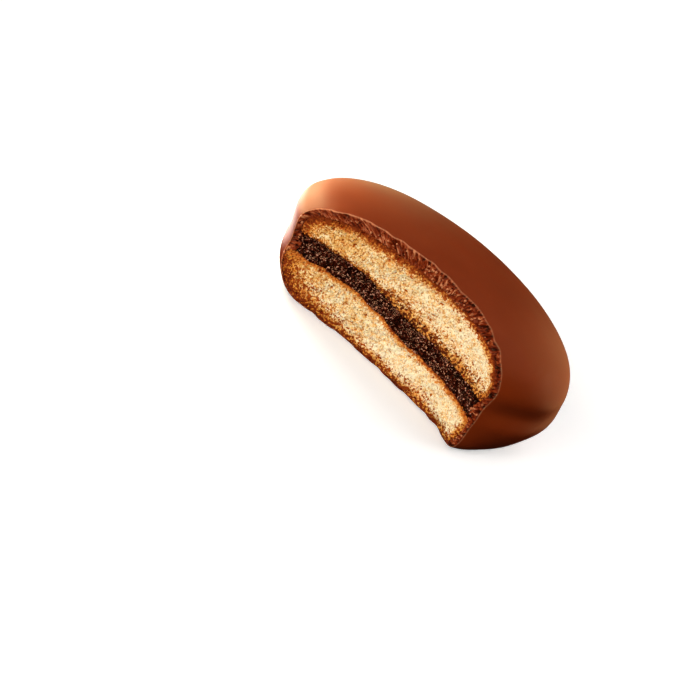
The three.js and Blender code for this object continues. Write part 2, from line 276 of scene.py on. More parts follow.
def coat_break():
    """Snapped milk chocolate, red-brown, satin: painted highlights on ridges and edge, painted shade in
    hollows.
    """
    material, tree = new_material("milk_chocolate_snapped")
    place = add(tree, "ShaderNodeTexCoord", out="Object")
    ridge, loose, depth = (
        add(tree, "ShaderNodeAttribute", attribute_name=label, out="Fac")
        for label in ("height", "loose", "skin"))
    end = add(tree, "ShaderNodeSeparateXYZ", {"Vector": place})
    # Lighter towards the left end and darker towards the right
    bright = add(tree, "ShaderNodeMapRange", {
        "Value": end, "From Min": 16 * MM, "From Max": -12 * MM, "To Min": -0.12, "To Max": 0.08})
    # Raised ridges are painted lighter and hollows darker, as painted highlight and painted shade
    level = add(tree, "ShaderNodeMath", {0: loose, 1: 0.25, 2: ridge}, operation="MULTIPLY_ADD")
    level = add(tree, "ShaderNodeMath", {0: level, 1: bright}, operation="ADD")
    tone = add(tree, "ShaderNodeValToRGB", {"Fac": level})
    fill_ramp(tone, SNAPPED_SHADE_TO_HIGHLIGHT_TONES)
    # A painted highlight along the snapped edge, broken up by noise and stronger towards the left end
    highlight_breakup = add(tree, "ShaderNodeTexNoise", {"Vector": place, "Scale": 1 / (SNAP_HIGHLIGHT_BREAKUP * MM), "Detail": 2.0})
    uneven = add(tree, "ShaderNodeMath", {0: highlight_breakup, 1: 0.24, 2: depth}, operation="MULTIPLY_ADD")
    pale = add(tree, "ShaderNodeMapRange", {
        "Value": end, "From Min": 10 * MM, "From Max": -20 * MM, "To Min": 0.35, "To Max": 0.85})
    rim = add(tree, "ShaderNodeMapRange", {
        "Value": uneven, "From Min": 0.36, "From Max": 0.24, "To Max": pale})
    colour = add(tree, "ShaderNodeMix", {0: rim, 6: tone, 7: linear(SNAPPED_EDGE_HIGHLIGHT)}, data_type="RGBA", out=2)
    shader = add(tree, "ShaderNodeBsdfPrincipled", {
        "Base Color": colour, "Roughness": 0.36, "IOR": 1.46, "Specular IOR Level": 0.25,
        "Specular Tint": linear("#ffd0a8")})
    add(tree, "ShaderNodeOutputMaterial", {"Surface": shader})
    return material


def baked_crumb(name, golden_to, stain_tones, stain_mixing, crust_mixing):
    """Baked sponge crumb: dry and matt, cream grains with golden painted shade between, browned next to the
    coat.

    One end is more golden, and golden_to is where, along X in millimetres, the crumb turns pale.
    stain_tones are the colours of crumb that the filling has soaked, from its edge to the filling.
    The mixings say how far stained and browned grains lie scattered among clean ones.
    """
    material, tree = new_material(name)
    place = add(tree, "ShaderNodeTexCoord", out="Object")
    height, crust, cream, burn, soak = (
        add(tree, "ShaderNodeAttribute", attribute_name=label, out="Fac")
        for label in ("height", "crust", "cream", "burn", "soak"))
    grain, speck = (
        add(tree, "ShaderNodeTexVoronoi", {"Vector": place, "Scale": 1 / (size * MM)})
        for size in (CRUMB_GRAIN, CRUMB_SPECK))
    drawn, speckled = (
        add(tree, "ShaderNodeSeparateXYZ", {"Vector": cells.node.outputs["Color"]})
        for cells in (grain, speck))
    fleck, pit, clump, blotch = (
        add(tree, "ShaderNodeTexNoise", {"Vector": place, "Scale": 1 / (size * MM), "Detail": 2.0})
        for size in CRUMB_PATCHES)
    end = add(tree, "ShaderNodeSeparateXYZ", {"Vector": place})
    baked = add(tree, "ShaderNodeMapRange", {"Value": end, "From Min": golden_to * MM, "From Max": -20 * MM})
    level = add(tree, "ShaderNodeMath", {0: baked, 1: -0.46, 2: -0.25}, operation="MULTIPLY_ADD")
    # The relief's height among these is painted light and shade: raised grains come out lighter, low ones
    # darker
    for part, share in ((drawn, 0.26), (fleck, 0.66), (clump, 0.48), (blotch, 0.7), (height, 0.3)):
        level = add(tree, "ShaderNodeMath", {0: part, 1: share, 2: level}, operation="MULTIPLY_ADD")
    base = add(tree, "ShaderNodeValToRGB", {"Fac": level})
    fill_ramp(base, CRUMB_TONES)
    # Painted shade, golden, in the gaps between grains, stronger where the crumb is open
    open_crumb = add(tree, "ShaderNodeMapRange", {
        "Value": clump, "From Min": 0.62, "From Max": 0.4, "To Min": 0.05, "To Max": 0.75})
    gap = add(tree, "ShaderNodeMapRange", {
        "Value": grain, "From Min": 0.36, "From Max": 0.66, "To Max": open_crumb},
        interpolation_type="SMOOTHSTEP")
    # Painted shade in small pits, deeper towards the golden end
    pit_shade = add(tree, "ShaderNodeMapRange", {"Value": pit, "From Min": 0.475, "From Max": 0.375},
                 interpolation_type="SMOOTHSTEP")
    deep = add(tree, "ShaderNodeMath", {0: baked, 1: 0.5, 2: 0.5}, operation="MULTIPLY_ADD")
    pit_shade = add(tree, "ShaderNodeMath", {0: pit_shade, 1: deep}, operation="MULTIPLY")
    # Painted shade in the low spots of the torn relief
    sunk = add(tree, "ShaderNodeMapRange", {"Value": height, "From Min": 0.32, "From Max": 0.02},
               interpolation_type="SMOOTHSTEP")
    colour = base
    for cover, tint in ((gap, CRUMB_GAP_SHADE), (pit_shade, CRUMB_PIT_SHADE)):
        colour = add(tree, "ShaderNodeMix", {
            0: cover, 6: colour, 7: linear(tint)}, data_type="RGBA", blend_type="MULTIPLY", out=2)
    for near, reach, tones, mottle, ends, mixing, blend in (
            (crust, burn, WASH_TONES, blotch, (1.5, 0.2), 0.3, "MULTIPLY"),
            (cream, soak, WASH_TONES, blotch, (0.9, -0.1), 0.3, "MULTIPLY"),
            (crust, burn, CRUST_TONES, pit, (1.0, 0.3), crust_mixing, "MIX"),
            (cream, soak, stain_tones, pit, (0.8, 0.0), stain_mixing, "MIX")):
        far = add(tree, "ShaderNodeMath", {0: near, 1: reach}, operation="DIVIDE")
        strength = add(tree, "ShaderNodeMapRange", {
            "Value": far, "From Max": 1.2, "To Min": 1.0, "To Max": 0.62})
        for part, share, middle in ((speckled, -mixing, mixing / 2), (mottle, -1.6, 0.8)):
            far = add(tree, "ShaderNodeMath", {0: part, 1: share, 2: far}, operation="MULTIPLY_ADD")
            far = add(tree, "ShaderNodeMath", {0: far, 1: middle}, operation="ADD")
        share = add(tree, "ShaderNodeMapRange", {"Value": far, "From Min": ends[0], "From Max": ends[1]},
                    interpolation_type="SMOOTHSTEP")
        depth = add(tree, "ShaderNodeMath", {0: share, 1: strength}, operation="MULTIPLY")
        tint = add(tree, "ShaderNodeValToRGB", {"Fac": depth})
        fill_ramp(tint, tones)
        cover = add(tree, "ShaderNodeMapRange", {"Value": share, "From Max": 0.4})
        colour = add(tree, "ShaderNodeMix", {
            0: cover, 6: colour, 7: tint}, data_type="RGBA", blend_type=blend, out=2)
    shaded = add(tree, "ShaderNodeMix", {
        0: sunk, 6: colour, 7: linear(CRUMB_HOLLOW_SHADE)}, data_type="RGBA", blend_type="MULTIPLY", out=2)
    shader = add(tree, "ShaderNodeBsdfPrincipled", {
        "Base Color": shaded, "Roughness": 0.8, "IOR": 1.45, "Specular IOR Level": 0.1,
        "Subsurface Weight": 0.1, "Subsurface Radius": (1.0, 0.5, 0.2), "Subsurface Scale": 0.35 * MM})
    add(tree, "ShaderNodeOutputMaterial", {"Surface": shader})
    return material


def cocoa_cream():
    """Cocoa cream: dense and nearly black, with a coarse moist grain, painted lighter where raised and with
    painted glints.
    """
    material, tree = new_material("cocoa_cream_set")
    height = add(tree, "ShaderNodeAttribute", attribute_name="height", out="Fac")
    place = add(tree, "ShaderNodeTexCoord", out="Object")
    grain = add(tree, "ShaderNodeTexVoronoi", {"Vector": place, "Scale": 1 / (CREAM_FLECK * MM)})
    drawn = add(tree, "ShaderNodeSeparateXYZ", {"Vector": grain.node.outputs["Color"]})
    level = -0.2
    # Height adds painted light: raised grain comes out lighter, and the highest grain and lumps as painted
    # glints
    for part, share in ((drawn, 0.5), (height, 0.9)):
        level = add(tree, "ShaderNodeMath", {0: part, 1: share, 2: level}, operation="MULTIPLY_ADD")
    tone = add(tree, "ShaderNodeValToRGB", {"Fac": level})
    fill_ramp(tone, CREAM_TONES_AND_GLINTS)
    shader = add(tree, "ShaderNodeBsdfPrincipled", {
        "Base Color": tone, "Roughness": 0.22, "IOR": 1.47, "Specular IOR Level": 0.5,
        "Specular Tint": linear("#ffb890")})
    add(tree, "ShaderNodeOutputMaterial", {"Surface": shader})
    return material


def studio_floor():
    """Matt white paper: plain and pale, with a tooth that is drawn coarse enough to show."""
    material, tree = new_material("matt_white_paper")
    place = add(tree, "ShaderNodeTexCoord", out="Object")
    tooth = add(tree, "ShaderNodeTexNoise", {"Vector": place, "Scale": 1 / (PAPER_TOOTH * MM), "Detail": 2.0})
    tone = add(tree, "ShaderNodeValToRGB", {"Fac": tooth})
    fill_ramp(tone, PAPER_TONES)
    shader = add(tree, "ShaderNodeBsdfPrincipled", {
        "Base Color": tone, "Roughness": 0.9, "Specular IOR Level": 0.1,
        "Emission Color": linear("#ffffff"), "Emission Strength": 0.4})
    add(tree, "ShaderNodeOutputMaterial", {"Surface": shader})
    return material


# Shape of the biscuit in millimetres

def smooth(share):
    """Smooth step from 0 to 1."""
    held = np.clip(share, 0, 1)
    return held * held * (3 - 2 * held)


def bell(value, middle, spread):
    """Bell curve, 1 at its middle."""
    return np.exp(-((value - middle) / spread) ** 2)


def round_bell(angle, middle, spread):
    """Bell curve of an angle, which meets itself after a full turn."""
    return bell(2 * np.sin((angle - middle) / 2), 0, spread)


def corner_value(column, row, seed):
    """Repeatable random number from -1 to 1 for a corner of a grid."""
    wave = np.sin(column * 127.1 + row * 311.7 + seed * 74.7) * 43758.5453
    return 2 * (wave - np.floor(wave)) - 1


def waves(across, up, seed):
    """Smooth random waves between the corners of a grid."""
    column, row = np.floor(across), np.floor(up)
    along_row, along_column = smooth(across - column), smooth(up - row)
    levels = []
    for corner in (row, row + 1):
        left, right = corner_value(column, corner, seed), corner_value(column + 1, corner, seed)
        levels.append(left * (1 - along_row) + right * along_row)
    return levels[0] * (1 - along_column) + levels[1] * along_column


def quarter(wide, narrow, powers, rows):
    """Quarter of a superellipse from its widest point to its narrowest, as radius and height."""
    angle = np.linspace(0, math.pi / 2, rows + 1)
    across = np.maximum(np.cos(angle), 0) ** (2 / powers[0])
    across[-1] = 0
    up = np.sin(angle) ** (2 / powers[1])
    radius = narrow[0] + (wide[0] - narrow[0]) * across
    height = wide[1] + (narrow[1] - wide[1]) * up
    return np.stack([radius, height], axis=1)


def half_section(base, low, high, top, powers, rows, waist=0.0):
    """Half section of a round body: base, rounded lower edge, side with a waist, and a dome or a flat top.

    rows gives the steps along the base, the lower edge, the side, the dome and the flat top.
    """
    share = np.linspace(0, 1, rows[2] + 1)[1:-1]
    height = low[1] + (high[1] - low[1]) * share
    radius = low[0] + (high[0] - low[0]) * smooth(share)
    side = np.stack([radius - waist * bell(height, FILLING_HEIGHT, COAT_BETWEEN_SPREAD), height], axis=1)
    flat_base = np.stack([np.linspace(0, base[0], rows[0] + 1)[:-1], np.full(rows[0], base[1])], axis=1)
    flat_top = np.stack([np.linspace(top[0], 0, rows[4] + 1)[1:], np.full(rows[4], top[1])], axis=1)
    stretches = [flat_base, quarter(low, base, ROUND_POWERS, rows[1])[::-1], side,
                 quarter(high, top, powers, rows[3]), flat_top]
    points = np.concatenate(stretches)
    apart = np.linalg.norm(np.diff(points, axis=0), axis=1) > 1e-6
    return points[np.concatenate([[True], apart])]


def coated_section(side, top, base, powers, rows, waist=0.0):
    """Section of the whole coated biscuit, drawn in by a wall at its side, top and base."""
    return half_section(
        (BASE_RADIUS - side, base), (LOWER_BULGE[0] - side, LOWER_BULGE[1]),
        (UPPER_BULGE[0] - side, UPPER_BULGE[1]), (0.0, HEIGHT - top), powers, rows, waist)


def settle(points):
    """Moves points of the ideal round body to where the uneven biscuit has them."""
    x, y, z = points.T
    radius, angle = np.hypot(x, y), np.arctan2(y, x)
    reach = radius / RADIUS
    grown = radius.copy()
    for count, size, turn in LOBES:
        grown += radius * size * np.cos(count * angle + turn)
    upper_half = smooth((z - LOWER_BULGE[1]) / (UPPER_BULGE[1] - LOWER_BULGE[1]))
    grown += reach * (1 - 2 * upper_half) * HALF_SHIFT * np.cos(angle)
    low = np.maximum(0, 1 - z / LOWER_BULGE[1]) ** 2
    grown += reach * low * LOWER_EDGE_SHIFT * np.cos(angle)
    grown += reach * low * FOOT_REACH * round_bell(angle, FOOT_ANGLE, FOOT_SPREAD)
    for turn, spread, height, rise, swell in SWELLS:
        grown += reach ** 4 * swell * round_bell(angle, turn, spread) * bell(z, height, rise)
    seam = np.full_like(z, SEAM_DEPTH)
    for turn, spread, share in SEAM_FADES:
        seam -= SEAM_DEPTH * share * round_bell(angle, turn, spread)
    grown -= reach ** 4 * seam * bell(z, SEAM_HEIGHT, SEAM_WIDTH)
    step = -STEP_RISE * np.tanh((x - STEP_AT) / STEP_LENGTH)
    for middle, spread, depth in DROOPS:
        step -= smooth((RADIUS - radius) / DROOP_FADE) * depth * bell(x, middle, spread)
    away = np.minimum(1, np.abs(z - FILLING_HEIGHT) / STEP_REACH)
    rise = step * np.cos(away * math.pi / 2) ** 2
    return np.stack([grown * np.cos(angle), grown * np.sin(angle), z + rise], axis=1)


def thin_coat(points):
    """Widens what the coat holds where the coat is thin, low down at one end of the break."""
    x, y, z = points.T
    radius, angle = np.hypot(x, y), np.arctan2(y, x)
    thinned = round_bell(angle, THIN_TURN, THIN_SPREAD) * bell(z, THIN_HEIGHT, THIN_RISE)
    grown = radius + radius / RADIUS * THIN_DEPTH * thinned
    return np.stack([grown * np.cos(angle), grown * np.sin(angle), z], axis=1)


def crinkle_cream(points):
    """Gives the two faces of the filling, and the biscuit that meets them, their uneven line."""
    x, y, z = points.T
    moved = z.copy()
    for level, seed in zip((filling_top, filling_bottom), CREAM_EDGE_SEEDS):
        near = np.maximum(0, 1 - np.abs(z - level) / CREAM_EDGE_REACH) ** 2
        inside = smooth((FILLING_RADIUS - np.hypot(x, y)) / CREAM_EDGE_FADE)
        for number, (size, depth) in enumerate(CREAM_EDGE_WAVES):
            moved += near * inside * depth * waves(x / size, y / size, seed + number)
        thinner = CREAM_THIN_DEPTH * bell(x, CREAM_THIN_AT, CREAM_THIN_SPREAD)
        moved += near * inside * thinner * np.sign(FILLING_HEIGHT - level)
    return np.stack([x, y, moved], axis=1)


def ripple_skin(points):
    """Faint ripples of the poured coat, which leave its flat base alone."""
    x, y, z = points.T
    radius = np.maximum(np.hypot(x, y), 1e-6)
    across, along = x + RIPPLE_SLANT[0] * z, y + RIPPLE_SLANT[1] * z
    lift = np.zeros_like(z)
    for number, (size, depth) in enumerate(SKIN_RIPPLES):
        lift += depth * waves(across / size, along / size, RIPPLE_SEED + number)
    lift *= smooth(z / RIPPLE_FOOT)
    crown = smooth((z - UPPER_BULGE[1]) / (HEIGHT - UPPER_BULGE[1]))
    shift = np.stack([x / radius * (1 - crown), y / radius * (1 - crown), crown], axis=1)
    return points + shift * lift[:, None]


def broken_face(x, z, relief, seed):
    """Where the broken face runs, with the large relief of one layer."""
    run = -BREAK_DISTANCE - BREAK_BOW * x ** 2 - BREAK_SKEW * x ** 3
    chip = CHIP_DEPTH * bell(x, CHIP_X, CHIP_WIDTH) * bell(z, CHIP_Z, CHIP_HEIGHT)
    y = run - BREAK_LEAN * (z - HEIGHT / 2) + chip
    for number, (across, up, depth) in enumerate(relief):
        y = y + depth * waves(x / across, z / up, seed + number)
    return y


def outline_lengths(x, z):
    """How far along the outline of the break each place lies, by its direction from the middle."""
    turn = np.linspace(-math.pi, math.pi, OUTLINE_STEPS)
    across, up = np.abs(np.cos(turn)) / OUTLINE_HALVES[0], np.abs(np.sin(turn)) / OUTLINE_HALVES[1]
    radius = 1 / (across ** OUTLINE_POWER + up ** OUTLINE_POWER) ** (1 / OUTLINE_POWER)
    ring = np.stack([radius * np.cos(turn), radius * np.sin(turn)], axis=1)
    length = np.concatenate([[0], np.cumsum(np.linalg.norm(np.diff(ring, axis=0), axis=1))])
    return np.interp(np.arctan2(z - HEIGHT / 2, x - OUTLINE_X), turn, length)


def loose_places(x, z, skin):
    """How thickly the snapped coat is strewn with its own lumps, none of them at the skin."""
    splintered = bell(x, SPLINTER_X, SPLINTER_SPREAD) * smooth((SPLINTER_TOP - z) / SPLINTER_FADE)
    crumbled = CRUMBLE_SHARE * bell(x, CRUMBLE_X, CRUMBLE_SPREAD) * smooth((z - CRUMBLE_FOOT) / CRUMBLE_FADE)
    return (LOOSE_SHARE + splintered + crumbled) * smooth(skin / LOOSE_FADE - LOOSE_GAP)


def browned_depth(x, least, bells):
    """How deep the crumb under the coat is browned, along the break."""
    return least + sum(extra * bell(x, middle, spread) for middle, spread, extra in bells)


def soaked_depth(x, least, more, start, length):
    """How deep the crumb next to the filling is soaked, along the break."""
    return least + more * smooth((x - start) / length)


# Meshes

def mesh_of(name, points, faces=(), edges=()):
    """A mesh in metres from points in millimetres."""
    mesh = bpy.data.meshes.new(name)
    mesh.from_pydata((np.asarray(points) * MM).tolist(), edges, faces)
    return mesh


def points_of(mesh):
    """A mesh's points in millimetres."""
    flat = np.empty(3 * len(mesh.vertices))
    mesh.vertices.foreach_get("co", flat)
    return flat.reshape(-1, 3) / MM


def store(mesh, name, values):
    """Stores one number for each point as a named attribute."""
    attribute = mesh.attributes.new(name, "FLOAT", "POINT")
    attribute.data.foreach_set("value", np.asarray(values, dtype=np.float32))


def read(mesh, name):
    """A mesh's named attribute as an array."""
    data = mesh.attributes[name].data
    values = np.empty(len(data))
    data.foreach_get("value", values)
    return values


def new_tree(name, numbers=(), others=()):
    """An empty Geometry Nodes tree with named inputs, and their sockets by name."""
    tree = bpy.data.node_groups.new(name, "GeometryNodeTree")
    inputs = [("Geometry", "NodeSocketGeometry"), *others, ("Material", "NodeSocketMaterial")]
    for label, kind in inputs + [(number, "NodeSocketFloat") for number in numbers]:
        tree.interface.new_socket(label, in_out="INPUT", socket_type=kind)
    tree.interface.new_socket("Geometry", in_out="OUTPUT", socket_type="NodeSocketGeometry")
    given = add(tree, "NodeGroupInput").node
    return tree, {socket.name: socket for socket in given.outputs}


def end_tree(tree, given, geometry):
    """Ends a tree with real meshes that carry the given material."""
    real = add(tree, "GeometryNodeRealizeInstances", {"Geometry": geometry})
    dressed = add(tree, "GeometryNodeSetMaterial", {"Geometry": real, "Material": given["Material"]})
    add(tree, "NodeGroupOutput", {"Geometry": dressed})
    return tree


def grow(name, mesh, tree, **values):
    """The plain mesh that a tree makes of a mesh, with the tree's inputs set by name."""
    source = bpy.data.objects.new(name, mesh)
    scene.collection.objects.link(source)
    modifier = source.modifiers.new(name, "NODES")
    modifier.node_group = tree
    sockets = {item.name: item.identifier for item in tree.interface.items_tree if item.in_out == "INPUT"}
    for label, value in values.items():
        modifier[sockets[label]] = value
    evaluated = source.evaluated_get(bpy.context.evaluated_depsgraph_get())
    made = bpy.data.meshes.new_from_object(evaluated)
    bpy.data.objects.remove(source)
    made.name = name
    return made


def turning_tree():
    """Turns a half section about Z. The section is drawn from the path, with X outwards and Y down."""
    tree, given = new_tree("turned_body", ("Path_Radius",), (("Columns", "NodeSocketInt"),))
    section = add(tree, "GeometryNodeMeshToCurve", {"Mesh": given["Geometry"]})
    path = add(tree, "GeometryNodeCurvePrimitiveCircle", {
        "Resolution": given["Columns"], "Radius": given["Path_Radius"]})
    swept = add(tree, "GeometryNodeCurveToMesh", {"Curve": path, "Profile Curve": section})
    closed = add(tree, "GeometryNodeMergeByDistance", {"Geometry": swept, "Distance": WELD * MM})
    outwards = add(tree, "GeometryNodeFlipFaces", {"Mesh": closed})
    return end_tree(tree, given, outwards)


def breaking_tree():
    """Takes the lost side off a body."""
    tree, given = new_tree("broken_off", others=(("Lost_Side", "NodeSocketObject"),))
    lost = add(tree, "GeometryNodeObjectInfo", {"Object": given["Lost_Side"]}, out="Geometry")
    left = add(tree, "GeometryNodeMeshBoolean", {"Mesh 1": given["Geometry"], "Mesh 2": lost},
               operation="DIFFERENCE", solver="MANIFOLD")
    return end_tree(tree, given, left)


def raise_break(tree, given, level, lift):
    """Ends a relief tree: the level is kept as height, and the broken face is moved out by the lift."""
    broken = add(tree, "GeometryNodeInputNamedAttribute", {"Name": "broken"}, data_type="FLOAT")
    for factor in (broken, -1.0):
        lift = add(tree, "ShaderNodeMath", {0: lift, 1: factor}, operation="MULTIPLY")
    offset = add(tree, "ShaderNodeCombineXYZ", {"Y": lift})
    kept = add(tree, "GeometryNodeStoreNamedAttribute", {
        "Geometry": given["Geometry"], "Name": "height", "Value": level}, data_type="FLOAT")
    raised = add(tree, "GeometryNodeSetPosition", {"Geometry": kept, "Offset": offset})
    return end_tree(tree, given, raised)


def crumb_relief_tree():
    """Raises torn crumb on a broken face: crags, clumps of grains and open pores."""
    tree, given = new_tree("crumb_relief", (*CRUMB_TEAR, "Seed"))
    place = add(tree, "GeometryNodeInputPosition")
    start = add(tree, "ShaderNodeMath", {0: given["Seed"], 1: SEED_SHIFT}, operation="MULTIPLY")
    shifted = add(tree, "ShaderNodeVectorMath", {0: place, 1: start}, operation="ADD")
    crag_scale, clump_scale, grain_scale, pore_scale = (
        add(tree, "ShaderNodeMath", {0: 1.0, 1: given[label]}, operation="DIVIDE")
        for label in ("Crag_Size", "Clump_Size", "Grain_Size", "Pore_Size"))
    bend = add(tree, "ShaderNodeTexNoise", {
        "Vector": shifted, "Scale": clump_scale, "Detail": 2.0}, out="Color")
    bend = add(tree, "ShaderNodeVectorMath", {0: bend, 1: (0.5, 0.5, 0.5)}, operation="SUBTRACT")
    bend = add(tree, "ShaderNodeVectorMath", {0: bend, "Scale": given["Clump_Size"]}, operation="SCALE")
    bent = add(tree, "ShaderNodeVectorMath", {0: shifted, 1: bend}, operation="ADD")
    crag = add(tree, "ShaderNodeTexNoise", {
        "Vector": shifted, "Scale": crag_scale, "Detail": 4.0, "Roughness": 0.6})
    crag = add(tree, "ShaderNodeMath", {0: crag, 1: 0.5}, operation="SUBTRACT")
    clump, grain, pore = (
        add(tree, "ShaderNodeTexVoronoi", {"Vector": bent, "Scale": scale})
        for scale in (clump_scale, grain_scale, pore_scale))
    lump, knob, hollow = (
        add(tree, "ShaderNodeMapRange", {
            "Value": cells, "From Min": near, "From Max": far, "To Min": 1.0, "To Max": 0.0},
            interpolation_type="SMOOTHSTEP")
        for cells, near, far in ((clump, 0.1, 0.8), (grain, 0.1, 0.75), (pore, 0.12, 0.4)))
    drawn = add(tree, "ShaderNodeSeparateXYZ", {"Vector": pore.node.outputs["Color"]})
    chosen = add(tree, "ShaderNodeMath", {0: drawn, 1: given["Pore_Share"]}, operation="LESS_THAN")
    hole = add(tree, "ShaderNodeMath", {0: hollow, 1: chosen}, operation="MULTIPLY")
    lift = 0.0
    for part, label in ((crag, "Crag_Depth"), (lump, "Clump_Depth"), (knob, "Grain_Depth")):
        lift = add(tree, "ShaderNodeMath", {0: part, 1: given[label], 2: lift}, operation="MULTIPLY_ADD")
    sunk = add(tree, "ShaderNodeMath", {0: hole, 1: given["Pore_Depth"]}, operation="MULTIPLY")
    lift = add(tree, "ShaderNodeMath", {0: lift, 1: sunk}, operation="SUBTRACT")
    # This level, kept as height, is painted by the crumb and cream materials: lighter where raised, darker in
    # pores and hollows
    level = 0.2
    for part, share in ((knob, 0.45), (lump, 0.3), (crag, 0.7), (hole, -0.6)):
        level = add(tree, "ShaderNodeMath", {0: part, 1: share, 2: level}, operation="MULTIPLY_ADD")
    return raise_break(tree, given, level, lift)


def snap_relief_tree():
    """Raises the ridges of snapped chocolate, which run from its outer skin inwards."""
    tree, given = new_tree("snapped_ridges", COAT_SNAP)
    along, skin = (
        add(tree, "GeometryNodeInputNamedAttribute", {"Name": label}, data_type="FLOAT")
        for label in ("along", "skin"))
    slanted = add(tree, "ShaderNodeMath", {0: skin, 1: 0.5, 2: along}, operation="MULTIPLY_ADD")
    across, inwards = (
        add(tree, "ShaderNodeMath", {0: way, 1: given[label]}, operation="DIVIDE")
        for way, label in ((slanted, "Ridge_Size"), (skin, "Ridge_Run")))
    place = add(tree, "ShaderNodeCombineXYZ", {"X": across, "Y": inwards, "Z": given["Seed"]})
    ridge = add(tree, "ShaderNodeTexNoise", {
        "Vector": place, "Scale": 1.0, "Detail": 3.0, "Roughness": 0.6, "Distortion": 0.5})
    facet = add(tree, "ShaderNodeTexNoise", {
        "Vector": place, "Scale": 0.35, "Detail": 1.0, "Distortion": 0.4})
    # This level, kept as height, is what the snapped coat's material paints as highlight on ridges and shade
    # between them
    level = 0.0
    for part, low, high, share in ((ridge, 0.4, 0.64, 0.75), (facet, 0.3, 0.7, 0.3)):
        line = add(tree, "ShaderNodeMapRange", {"Value": part, "From Min": low, "From Max": high})
        level = add(tree, "ShaderNodeMath", {0: line, 1: share, 2: level}, operation="MULTIPLY_ADD")
    edge = add(tree, "ShaderNodeMapRange", {"Value": skin, "From Min": 0.0, "From Max": given["Rim"]},
               interpolation_type="SMOOTHSTEP")
    lift = level
    for factor in (given["Ridge_Depth"], edge):
        lift = add(tree, "ShaderNodeMath", {0: lift, 1: factor}, operation="MULTIPLY")
    return raise_break(tree, given, level, lift)


def lump_tree():
    """Adds small loose lumps to a broken face. They keep its values and are drawn in size and tone."""
    tree, given = new_tree("loose_lumps", CRUMB_LUMPS, (("Seed", "NodeSocketInt"),))
    loose = add(tree, "GeometryNodeInputNamedAttribute", {"Name": "loose"}, data_type="FLOAT")
    density = add(tree, "ShaderNodeMath", {0: loose, 1: given["Density"]}, operation="MULTIPLY")
    spots = add(tree, "GeometryNodeDistributePointsOnFaces", {
        "Mesh": given["Geometry"], "Density": density, "Seed": given["Seed"]})
    tone = add(tree, "FunctionNodeRandomValue", {
        2: given["Darkest"], 3: given["Lightest"], "Seed": 1}, data_type="FLOAT", out=1)
    toned = add(tree, "GeometryNodeStoreNamedAttribute", {
        "Geometry": spots, "Name": "height", "Value": tone}, data_type="FLOAT")
    lump = add(tree, "GeometryNodeMeshIcoSphere", {"Radius": 1.0, "Subdivisions": 1})
    turn = add(tree, "FunctionNodeRandomValue", {
        1: FULL_TURN, "Seed": 2}, data_type="FLOAT_VECTOR")
    size = add(tree, "FunctionNodeRandomValue", {0: given["Smallest"], 1: given["Largest"], "Seed": 3},
               data_type="FLOAT_VECTOR")
    lumps = add(tree, "GeometryNodeInstanceOnPoints", {
        "Points": toned, "Instance": lump, "Rotation": turn, "Scale": size})
    both = add(tree, "GeometryNodeJoinGeometry", {"Geometry": lumps})
    tree.links.new(given["Geometry"], both.node.inputs["Geometry"])
    return end_tree(tree, given, both)


turning = turning_tree()
breaking = breaking_tree()
crumb_relief = crumb_relief_tree()
snap_relief = snap_relief_tree()
lumping = lump_tree()


def turned(name, section, columns, shapers, look):
    """A round body turned from its half section, then shaped point by point."""
    drawn = np.stack([section[:, 0] - RADIUS, -section[:, 1], np.zeros(len(section))], axis=1)
    edges = [(first, first + 1) for first in range(len(drawn) - 1)]
    body = grow(name, mesh_of(name, drawn, edges=edges), turning, Columns=columns, Path_Radius=RADIUS * MM,
                Material=look)
    points = points_of(body)
    for shape in shapers:
        points = shape(points)
    body.vertices.foreach_set("co", (points * MM).ravel())
    body.update()
    return body


def lost_side(relief, seed, span):
    """The side that is broken off, as a block whose inner face has one layer's large relief."""
    across = np.arange(-RADIUS - BREAK_MARGIN, RADIUS + BREAK_MARGIN, BREAK_CELL)
    up = np.arange(span[0] - BREAK_MARGIN, span[1] + BREAK_MARGIN, BREAK_CELL)
    x, z = (grid.ravel() for grid in np.meshgrid(across, up, indexing="ij"))
    front = np.stack([x, broken_face(x, z, relief, seed), z], axis=1)
    index = np.arange(len(front)).reshape(len(across), len(up))
    quads = np.stack([index[:-1, :-1], index[:-1, 1:], index[1:, 1:], index[1:, :-1]], axis=-1).reshape(-1, 4)
    rim = np.concatenate([index[0, :-1], index[:-1, -1], index[-1, :0:-1], index[:0:-1, 0]])
    back = front[rim] * (1, 0, 1) + (0, BREAK_BACK, 0)
    behind = len(front) + np.arange(len(rim))
    sides = np.stack([np.roll(rim, -1), rim, behind, np.roll(behind, -1)], axis=1)
    faces = quads.tolist() + sides.tolist() + [behind[::-1].tolist()]
    return mesh_of("lost_side", np.concatenate([front, back]), faces)


def cut_away(name, body, tool, look):
    """What is left of a body when a second one is taken off it."""
    lost = bpy.data.objects.new(tool.name, tool)
    scene.collection.objects.link(lost)
    left = grow(name, body, breaking, Lost_Side=lost, Material=look)
    bpy.data.objects.remove(lost)
    return left


def break_off(name, body, relief, seed, span, look):
    """Breaks the lost side off a body, and marks the points of the broken face."""
    left = cut_away(name, body, lost_side(relief, seed, span), look)
    x, y, z = points_of(left).T
    store(left, "broken", np.abs(y - broken_face(x, z, relief, seed)) < ON_BREAK)
    return left


def distance_to(mesh, points, chosen=None):
    """Distance in millimetres from points to a mesh, or to those of its faces that are chosen."""
    faces = [tuple(face.vertices) for face in mesh.polygons if chosen is None or chosen[face.index]]
    tree = BVHTree.FromPolygons([vertex.co for vertex in mesh.vertices], faces)
    found = [tree.find_nearest(Vector(point) * MM)[3] for point in points]
    return np.minimum(np.array(found) / MM, FARTHEST)


